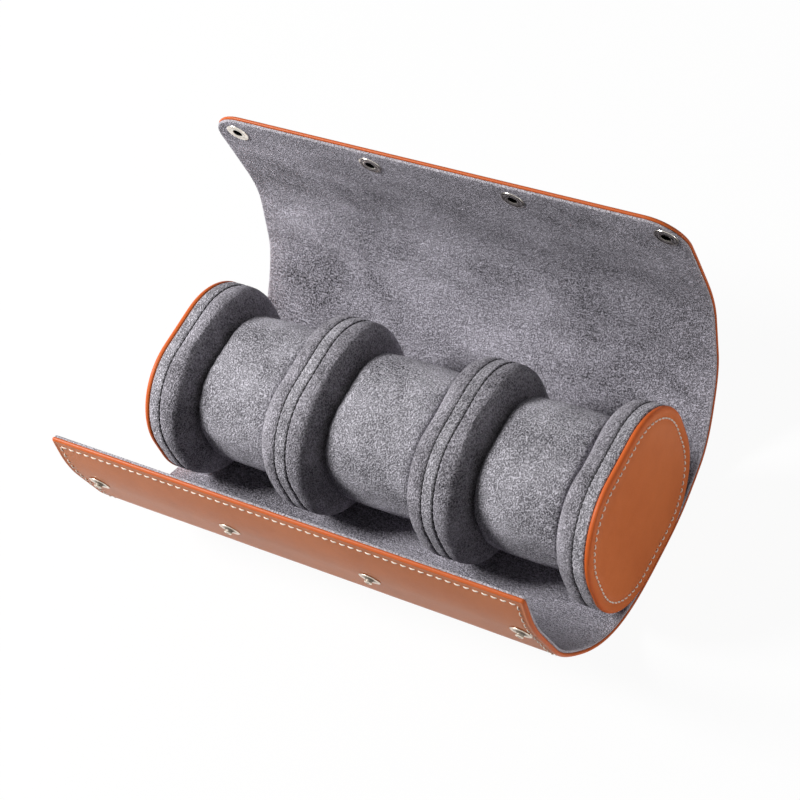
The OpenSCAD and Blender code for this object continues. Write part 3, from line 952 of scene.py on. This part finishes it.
def stuff(piece, is_held, farthest, pressure=4.0):
    """Swells a sewn cover as its stuffing does, by a short cloth run, and keeps each point near its place."""
    rest = places_in(piece.data)
    held = piece.vertex_groups.new(name="held")
    held.add([i for i, point in enumerate(rest) if is_held(point / MM)], 1.0, "REPLACE")
    cloth = piece.modifiers.new("stuffing", "CLOTH")
    settings = cloth.settings
    settings.quality = 5
    settings.mass = 0.05
    settings.tension_stiffness = settings.compression_stiffness = 12
    settings.shear_stiffness = 8
    settings.bending_stiffness = 0.3
    settings.use_pressure = True
    settings.uniform_pressure_force = pressure
    settings.effector_weights.gravity = 0
    settings.vertex_group_mass = "held"
    scene = bpy.context.scene
    for number in range(1, SETTLED_FRAME + 1):
        scene.frame_set(number)
    swollen = places_in(piece.evaluated_get(bpy.context.evaluated_depsgraph_get()).data)
    piece.modifiers.remove(cloth)
    piece.vertex_groups.clear()
    scene.frame_set(1)
    shift = swollen - rest
    size = np.maximum(np.linalg.norm(shift, axis=1, keepdims=True), 1e-9)
    shift *= farthest * MM * np.tanh(size / (farthest * MM)) / size
    put_places(piece.data, rest + shift)


def refine(piece, move):
    """Subdivides a piece once for good, then moves each point by a function of its place in millimetres."""
    smoother = piece.modifiers.new("smooth", "SUBSURF")
    smoother.levels = smoother.render_levels = 1
    finer = with_modifiers(piece)
    piece.modifiers.clear()
    finer.name = piece.name
    piece.data = finer
    places = places_in(finer) / MM
    places += np.array([move(*place) for place in places])
    put_places(finer, places * MM)


def disc_pad(name, seam_at, way, seed):
    """One padded face that swells from its seam at seam_at along X."""
    piece = drum(name, smooth_profile(PAD_RINGS, 28), PAD_SUEDE, seam_at, way)
    stuff(piece, lambda place: way * (place[0] - seam_at) < 0.5, 0.9)

    def move(x, y, z):
        height, z = way * (x - seam_at), z - DISC_Z
        inset = inset_of(y, z)
        angle = math.atan2(z, y)
        out = np.array([0, y, z]) / max(math.hypot(y, z), 1e-6)
        rim = math.exp(-max(inset, 0) / 4)
        gathers = math.sin(angle * 58 + 2.2 * math.sin(angle * 5 + seed)) * math.exp(-abs(height - 1.6) / 1.6)
        lump = wave(x, y, z, 22, 0.5, seed) + wave(x, y, z, 9, 0.14, seed + 2)
        away = 0.2 * gathers * min(height / 1.2, 1) - 0.3 * rim * abs(lump)
        return out * away + np.array([way * (lump - 0.3) * (1 - rim) * min(height / 3, 1), 0, 0])

    refine(piece, move)
    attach(piece, "base")
    return piece


# Each pad's name in the solids, the gusset band that it is sewn to and the way that it faces
PADS = [
    ("cap_pad_left", 0, 1), ("divider_pad_left_1", 1, -1), ("divider_pad_right_1", 1, 1),
    ("divider_pad_left_2", 2, -1), ("divider_pad_right_2", 2, 1), ("cap_pad_right", 3, -1),
]
for number, (solid, gusset, way) in enumerate(PADS, 1):
    pad = disc_pad(f"pad_{number}", GUSSET_AT[gusset] + way * GUSSET / 2, way, 3.0 * number)
    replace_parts(pad, solid)

# ---------------------------------------------------------------- disc seams
# A dark polyester thread joins each pad to its gusset. Its short stitches lie down in the seam's groove and
# read as a dashed dark line round the rim.
DARK_THREAD = thread_finish("dark_thread", color(24, 22, 25), color(56, 53, 58))


def seam_ring(name, inset, x, count, thread, up, length, radius, rise):
    """Stitches round a disc: up is the way that a face looks along X, or 0 on the rim."""
    ring = outline(inset, count=count)
    points, ways, ups = [], [], []
    for k in range(count):
        way = ring[(k + 1) % count] - ring[k - 1]
        way = way / np.linalg.norm(way)
        points.append((x, ring[k][0], ring[k][1] + DISC_Z))
        ways.append((0, way[0], way[1]))
        ups.append((up, 0, 0) if up else (0, way[1], -way[0]))
    piece = sew(name, points, ways, ups, thread, length, radius, rise)
    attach(piece, "base")
    return piece


for number, (solid, gusset, way) in enumerate(PADS, 1):
    seam = seam_ring(
        f"seam_{number}", 0.5, GUSSET_AT[gusset] + way * GUSSET / 2, 88, DARK_THREAD, 0, 2.2, 0.32, 0.3
    )

# ---------------------------------------------------------------- end faces
# A disc of the same tan leather closes each end of the row. It is drawn over a thin pad, its edge is rolled
# and burnished, and pale thread sews it down in a groove about 5 mm in from the rim.
FACE_TAN = leather_finish(
    "face_leather", color(196, 102, 52), color(212, 117, 64), color(206, 96, 40), 0.42, 0.54, 0.03
)
FACE_RINGS = [
    (0.7, 0.0), (0.2, 0.4), (0.0, 1.15), (0.12, 1.85), (0.6, 2.45), (1.4, 2.8), (2.5, 2.86), (3.6, 2.6),
    (4.5, 2.2), (5.2, 2.02), (5.9, 2.15), (7.0, 2.62), (8.8, 3.05), (12, 3.35), (17, 3.5), (24, 3.58),
    (31, 3.6),
]
FACE_SEAM = 5.2
FACE_SEAM_HEIGHT = 2.12
# Where the face dips a little, seen in the photograph at the upper front of the right-hand one
DENT_AT = (-20, 17)

for side, label in ((-1, "left"), (1, "right")):
    seat = insert_ends[side] - side * FACE_CROWN
    rings = [(31, 0.0), (12, 0.0)] + smooth_profile(FACE_RINGS, 40)
    face = drum(f"face_{label}", rings, FACE_TAN, seat, side, around=160)
    points = places_in(face.data) / MM
    rim = []
    for point in points:
        x, y, z = point[0], point[1], point[2] - DISC_Z
        depth = inset_of(y, z)
        inner = min(max((depth - 6) / 8, 0), 1) * (side * (x - seat) > 0.1)
        dent = 0.5 * math.exp(-(((y - DENT_AT[0]) / 9) ** 2 + ((z - DENT_AT[1]) / 5) ** 2))
        point[0] += side * inner * (wave(x, y, z, 26, 0.22, 5.5) - 0.15 - dent)
        rim.append(math.exp(-max(depth - 0.6, 0) / 1.1))
    put_places(face.data, points * MM)
    layer = face.data.attributes.new("edge", "FLOAT", "POINT")
    layer.data.foreach_set("value", np.array(rim, np.float32))
    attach(face, "base")
    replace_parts(face, f"cap_face_{label}")
    seam_x = seat + side * FACE_SEAM_HEIGHT
    stitches = seam_ring(
        f"face_stitches_{label}", FACE_SEAM, seam_x, 74, PALE_THREAD, side, 1.9, 0.37, 0.42
    )

# ---------------------------------------------------------------- watch cushions
# Three barrels of soft foam in brushed suede sit between the discs and lift out with their watch. Each
# cover is gathered round the rims of its two flat ends.
# The cushions' suede is a paler copy of the lining's: painted light, for the light that falls on their tops
CUSHION_SUEDE = suede_finish("cushion_suede", color(26, 25, 29), color(242, 238, 248), patches=26)
CUSHION_SHARE = 0.76
CUSHION_GAP = 0.3
CUSHION_END = [
    (30, 0.35), (20, 0.2), (11, 0.0), (6.5, 0.1), (3.8, 0.65), (1.9, 1.6), (0.8, 3.0), (0.35, 4.8), (0.1, 8),
    (-0.2, 14), (-0.3, 20),
]

for number in (1, 2, 3):
    left = GUSSET_AT[number - 1] + GUSSET / 2 + DISC_PAD + CUSHION_GAP
    length = GUSSET_AT[number] - GUSSET / 2 - DISC_PAD - CUSHION_GAP - left
    rings = smooth_profile(CUSHION_END + [(i, length - h) for i, h in reversed(CUSHION_END)], 44)
    cushion = drum(f"cushion_cover_{number}", rings, CUSHION_SUEDE, left, 1, CUSHION_SHARE)
    stuff(cushion, lambda place: inset_of(place[1], place[2] - DISC_Z, CUSHION_SHARE) > 10, 0.8)

    def move(x, y, z):
        height, z = min(max(x - left, 0), max(left + length - x, 0)), z - DISC_Z
        inset = inset_of(y, z, CUSHION_SHARE)
        angle = math.atan2(z, y)
        end = math.exp(-height / 5)
        rim = end * math.exp(-abs(inset - 2) / 3)
        gathers = math.sin(angle * 23 + 1.5 * math.sin(3 * angle + number)) * rim
        lump = wave(x, y, z, 24, 0.6, 9.0 * number) + wave(x, y, z, 10, 0.16, 4.0 * number)
        out = np.array([0, y, z]) / max(math.hypot(y, z), 1e-6)
        return out * ((lump - 0.2) * (1 - end) * math.exp(-max(inset - 3, 0) / 3) + 0.24 * gathers)

    refine(cushion, move)
    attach(cushion, f"cushion_{number}")
    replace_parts(cushion, f"cushion_{number}")

# ---------------------------------------------------------------- stud snaps
# Four small turned brass studs, plated to a dull nickel, stand on the front flap's outside. A rivet goes
# from each to a disc behind the leather.

# Plated metal: a dull warm nickel with fine turning marks and rougher hollows, whose darker colour is partly
# tarnish and partly painted shade
PLATED, given, out = new_group(
    "plated_metal",
    [("Place", "Vector"), ("Hollow", "Float"), ("Bright", "Color"), ("Dull", "Color"), ("Dark", "Color"),
     ("Polish", "Float")],
    [("Color", "Color"), ("Roughness", "Float"), ("Height", "Float")],
)
tarnish = noise(PLATED, given["Place"], 420, detail=4, roughness=0.6)
turning = noise(PLATED, given["Place"], 2600, detail=2)
plating = blend_colors(PLATED, spread(PLATED, tarnish, 0.35, 0.65), given["Bright"], given["Dull"])
PLATED.links.new(blend_colors(PLATED, given["Hollow"], plating, given["Dark"]), out["Color"])
worn = total(PLATED, given["Polish"], spread(PLATED, tarnish, 0.3, 0.7, 0, 0.14))
PLATED.links.new(total(PLATED, worn, product(PLATED, given["Hollow"], 0.3)), out["Roughness"])
PLATED.links.new(turning, out["Height"])


def metal_finish(name, bright, dull, dark, polish):
    """Plated metal, with painted shade and tarnish darkening its hollows by the mesh's hollow mask."""
    finish, tree, shader, place = new_finish(name)
    hollow = node(tree, "ShaderNodeAttribute", attribute_name="hollow").outputs["Fac"]
    plated = node(
        tree, "ShaderNodeGroup", node_tree=PLATED, Place=place, Hollow=hollow, Bright=bright, Dull=dull,
        Dark=dark, Polish=polish,
    ).outputs
    tree.links.new(plated["Color"], shader.inputs["Base Color"])
    tree.links.new(plated["Roughness"], shader.inputs["Roughness"])
    shader.inputs["Metallic"].default_value = 1.0
    emboss(tree, shader, plated["Height"], 0.08, 0.0001)
    return finish


def turned(name, profile, centre, axis, finish, around=48):
    """A turned piece from (radius, height, hollow) points, standing on centre along axis."""
    axis = Vector(axis).normalized()
    side = axis.orthogonal().normalized()
    other = axis.cross(side)
    points, faces, hollow = [], [], []
    for radius, height, depth in profile:
        for k in range(around):
            a = 2 * math.pi * k / around
            spoke = side * math.cos(a) + other * math.sin(a)
            points.append(Vector(centre) + axis * height + spoke * radius)
            hollow.append(depth)
    for j in range(len(profile) - 1):
        a, b = j * around, (j + 1) * around
        for i in range(around):
            k = (i + 1) % around
            faces.append((a + i, a + k, b + k, b + i))
    faces += [tuple(reversed(range(around))), tuple(range(len(points) - around, len(points)))]
    return make_piece(name, points, faces, finish, 35, masks={"hollow": hollow})


STUD_METAL = metal_finish("stud_metal", color(238, 228, 214), color(208, 198, 184), color(88, 80, 72), 0.28)
# The third number of each point is its hollow share: how far painted shade and tarnish darken the metal there
STUD_PROFILE = [
    (5.0, 0.0, 0), (5.2, 0.12, 0), (5.2, 0.3, 0), (4.95, 0.45, 0), (4.5, 0.44, 0), (3.7, 0.3, 0.2),
    (2.7, 0.26, 0.6), (2.2, 0.4, 0.9), (1.85, 0.75, 0.9), (1.62, 1.15, 0.8), (1.62, 1.4, 0.6),
    (1.85, 1.65, 0.2), (1.9, 1.95, 0), (1.72, 2.2, 0), (1.3, 2.3, 0), (0.95, 2.26, 0.3), (0.7, 2.05, 0.9),
    (0.4, 1.95, 1),
]
STUD_FACET = 4


def set_snaps(word, profile, finish, curl, facet, along, offset, way, body):
    """A row of turned pieces on a flat facet of a flap: way is 1 on its leather side and -1 on its lining."""
    point, normal = curl.on_facet(facet, along)
    axis = (0, way * curl.side * normal[0], way * normal[1])
    for number, x in enumerate(SNAP_PLACES, 1):
        centre = curl.place(x, point, normal, offset)
        snap = turned(f"{word}_turned_{number}", profile, centre, axis, finish)
        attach(snap, body)
        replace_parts(snap, f"{word}_{number}")


set_snaps("stud", STUD_PROFILE, STUD_METAL, FLAP, STUD_FACET, STUD_ALONG, WALL, 1, "flap_4")
BACKING_METAL = metal_finish(
    "backing_metal", color(190, 184, 174), color(150, 144, 134), color(60, 56, 52), 0.35
)
refinish([f"stud_back_{number}" for number in range(1, 5)], BACKING_METAL)

# ---------------------------------------------------------------- socket snaps
# Four sockets stand on the lid's lining near its free edge. Each is a rolled ring round a cup, painted
# near-black inside as shade, which sits in a hole through the lining and takes a stud's head. A thin cap
# backs it under the leather.
# Its near-black dark colour is painted shade inside each socket's cup
SOCKET_METAL = metal_finish("socket_metal", color(236, 230, 220), color(190, 184, 174), color(10, 9, 9), 0.16)
# The third number of each point is its hollow share: painted near-black shade inside the cup
SOCKET_PROFILE = [
    (0.4, -1.39, 0), (2.5, -1.39, 0), (2.5, -0.02, 0), (5.5, 0.0, 0), (5.78, 0.12, 0), (5.7, 0.34, 0),
    (5.3, 0.47, 0), (4.8, 0.49, 0), (4.3, 0.4, 0), (3.8, 0.34, 0.25), (3.3, 0.4, 0), (2.85, 0.45, 0),
    (2.5, 0.36, 0.3), (2.36, 0.2, 0.9), (2.34, 0.0, 1), (2.34, -1.3, 1), (2.2, -1.34, 1), (0.4, -1.34, 1),
]
set_snaps("socket", SOCKET_PROFILE, SOCKET_METAL, LID, SOCKET_FACET, SOCKET_ALONG, 0, -1, "lid_6")
refinish([f"socket_cap_{number}" for number in range(1, 5)], BACKING_METAL)

# ---------------------------------------------------------------- floor, light and world
# The case lies on a plain white sheet in a bright room, with the main light high to the left of the camera.
# The camera sees the sheet and the room as nearly white, and reflections see the room so too. A faint shadow
# stays on the sheet.
floor_finish, tree, shader, place = new_finish("white_floor")
paper = noise(tree, place, 3, detail=2)
sheet = blend_colors(tree, paper, color(228, 228, 228), color(234, 234, 234))
tree.links.new(sheet, shader.inputs["Base Color"])
shader.inputs["Roughness"].default_value = 0.9
seen = node(tree, "ShaderNodeLightPath").outputs["Is Camera Ray"]
glow = node(tree, "ShaderNodeEmission", Strength=1.0)
mixed = node(
    tree, "ShaderNodeMixShader", _0=product(tree, seen, 0.95), _1=shader.outputs[0], _2=glow.outputs[0]
)
tree.links.new(mixed.outputs[0], tree.nodes["Material Output"].inputs["Surface"])
# In metres, half of the floor's width and how far below the solids' base it lies to clear the stitches
FLOOR_HALF = 4
FLOOR_DROP = 0.0006
floor_mesh = bpy.data.meshes.new("floor")
floor_signs = ((-1, -1), (1, -1), (1, 1), (-1, 1))
floor_corners = [(x * FLOOR_HALF, y * FLOOR_HALF, -FLOOR_DROP) for x, y in floor_signs]
floor_mesh.from_pydata(floor_corners, [], [(0, 1, 2, 3)])
floor_mesh.materials.append(floor_finish)
floor = bpy.data.objects.new("floor", floor_mesh)
bpy.context.collection.objects.link(floor)
floor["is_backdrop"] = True

world = bpy.data.worlds.new("studio")
world.use_nodes = True
ROOM_LIGHT = 0.12
tree = world.node_tree
path = node(tree, "ShaderNodeLightPath").outputs
white = reckon(tree, "MAXIMUM", path["Is Camera Ray"], path["Is Transmission Ray"])
white = reckon(tree, "MAXIMUM", white, path["Is Glossy Ray"])
tree.nodes["Background"].inputs["Color"].default_value = (1, 1, 1, 1)
tree.links.new(spread(tree, white, 0, 1, ROOM_LIGHT, 1.0), tree.nodes["Background"].inputs["Strength"])
bpy.context.scene.world = world


def lamp(name, at, target, size, power):
    """A round soft light that looks at a place."""
    light = bpy.data.lights.new(name, "AREA")
    light.shape = "DISK"
    light.size = size
    light.energy = power
    holder = bpy.data.objects.new(name, light)
    bpy.context.collection.objects.link(holder)
    way = Vector(target) - Vector(at)
    holder.matrix_world = Matrix.Translation(at) @ way.to_track_quat("-Z", "Y").to_matrix().to_4x4()


lamp("window", (-1.0, -0.38, 1.15), (0, 0, 0.03), 0.4, 32)
lamp("side", (1.5, 0.05, 0.1), (0, 0, 0.05), 0.3, 6)
bpy.context.scene.view_settings.view_transform = "Standard"

# ---------------------------------------------------------------- bounds
# The box of the solids and the box of the finished case are worked out side by side.
boxes = {"cad": CAD_BOX, "visual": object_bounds()}
{key: [[float(v) for v in corner] for corner in box] for key, box in boxes.items()}
